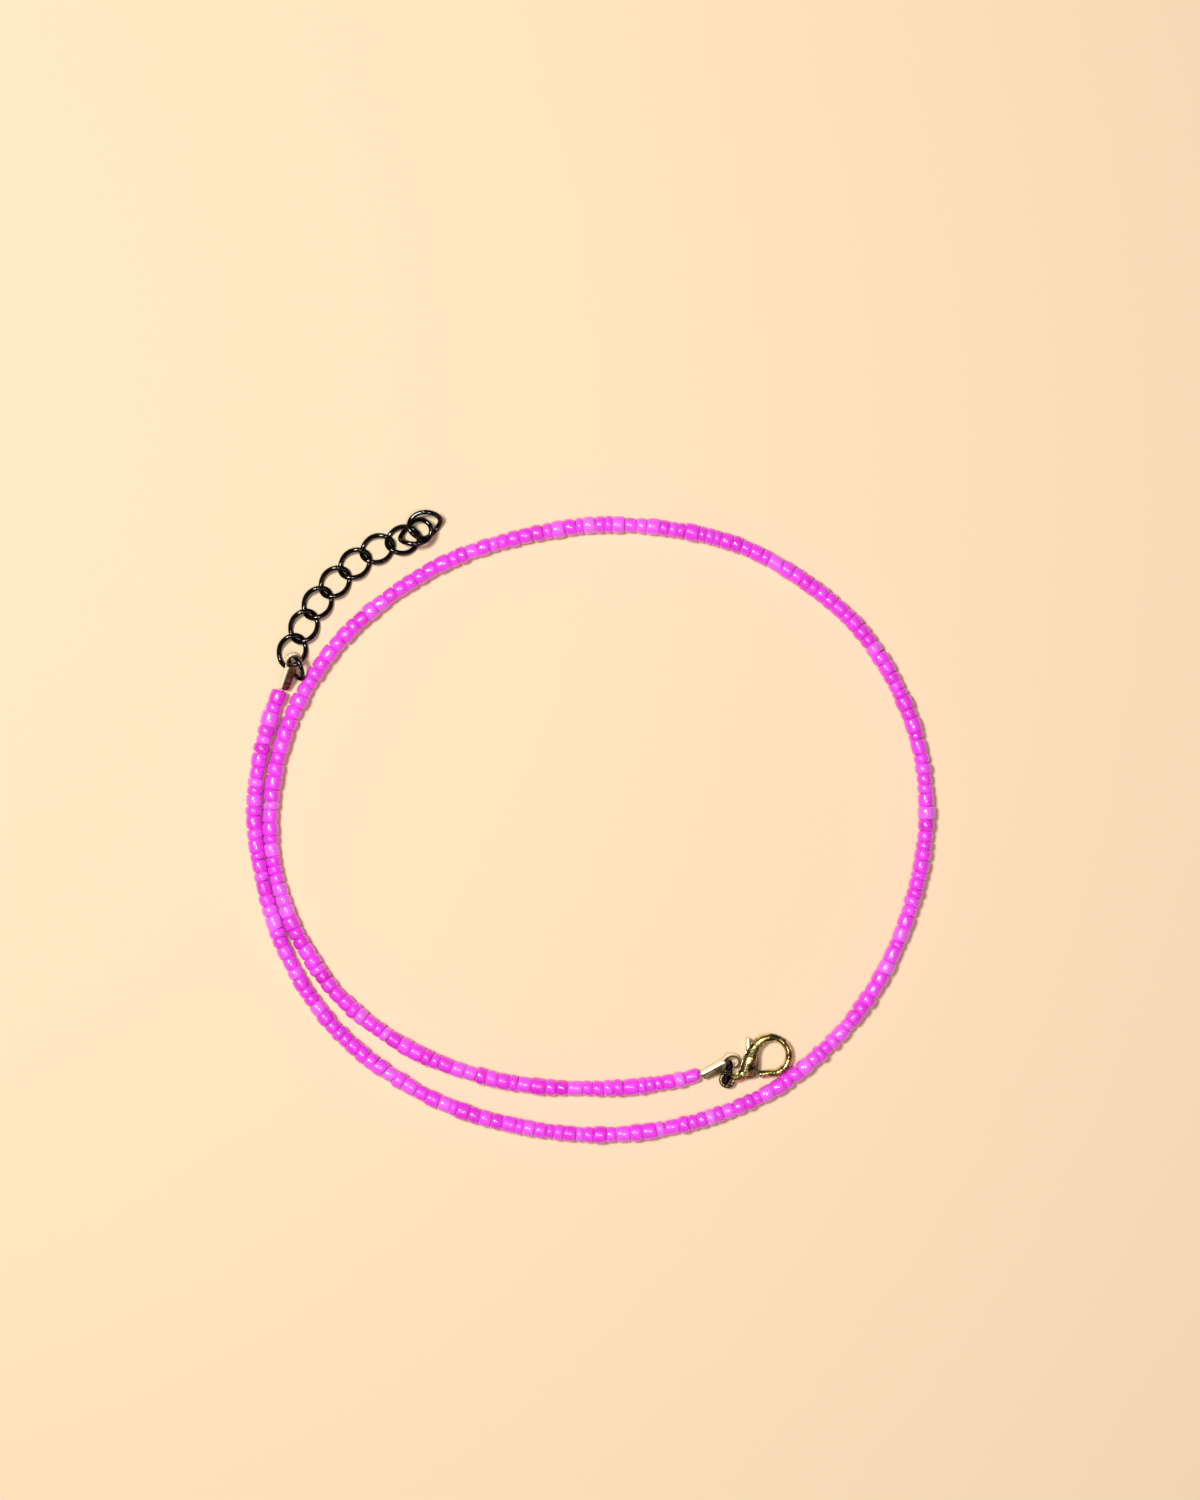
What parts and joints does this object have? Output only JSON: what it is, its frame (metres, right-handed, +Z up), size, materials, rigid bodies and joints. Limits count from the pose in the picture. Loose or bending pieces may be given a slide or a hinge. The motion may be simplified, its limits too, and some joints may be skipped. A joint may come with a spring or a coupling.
{
  "type": "seed bead necklace",
  "caption": "Long single-string seed bead necklace lying open, with folded crimp ends, a short extension chain of oval links and a small lobster clasp.",
  "frame": {"origin": "middle of the base: the middle of the laid-out necklace, on the surface that it lies on", "axes": "+X along the longest extent, to the right of the picture; +Y to the top of the picture; +Z up from the surface"},
  "size_m": [0.106, 0.0975, 0.0043],
  "materials": {
    "magenta_glass": "opaque glossy magenta glass, each bead a little lighter or darker",
    "gunmetal_wire": "polished gunmetal-black plated wire",
    "antique_brass": "worn antique brass plating, bright on the edges and dark in the hollows"
  },
  "bodies": {
    "necklace": {"bead_strand": "magenta_glass", "chain_crimp": "antique_brass", "chain_jump_ring": "gunmetal_wire", "chain_link_01": "gunmetal_wire", "chain_link_02": "gunmetal_wire", "chain_link_03": "gunmetal_wire", "chain_link_04": "gunmetal_wire", "chain_link_05": "gunmetal_wire", "chain_link_06": "gunmetal_wire", "chain_link_07": "gunmetal_wire", "chain_link_08": "gunmetal_wire", "chain_link_09": "gunmetal_wire", "clasp_crimp": "antique_brass", "clasp_jump_ring": "gunmetal_wire", "clasp_body": "antique_brass"},
    "lever": {"clasp_lever": "antique_brass"}
  },
  "joints": [
    {"name": "lever_pivot", "type": "hinge", "parent": "necklace", "child": "lever", "pos_m": [0.02366, -0.03827, 0.0012], "axis": [0, 0, 1], "range_deg": [0, 25], "stiffness_Nm_per_rad": 0.0001, "springref_deg": -17.19}
  ]
}
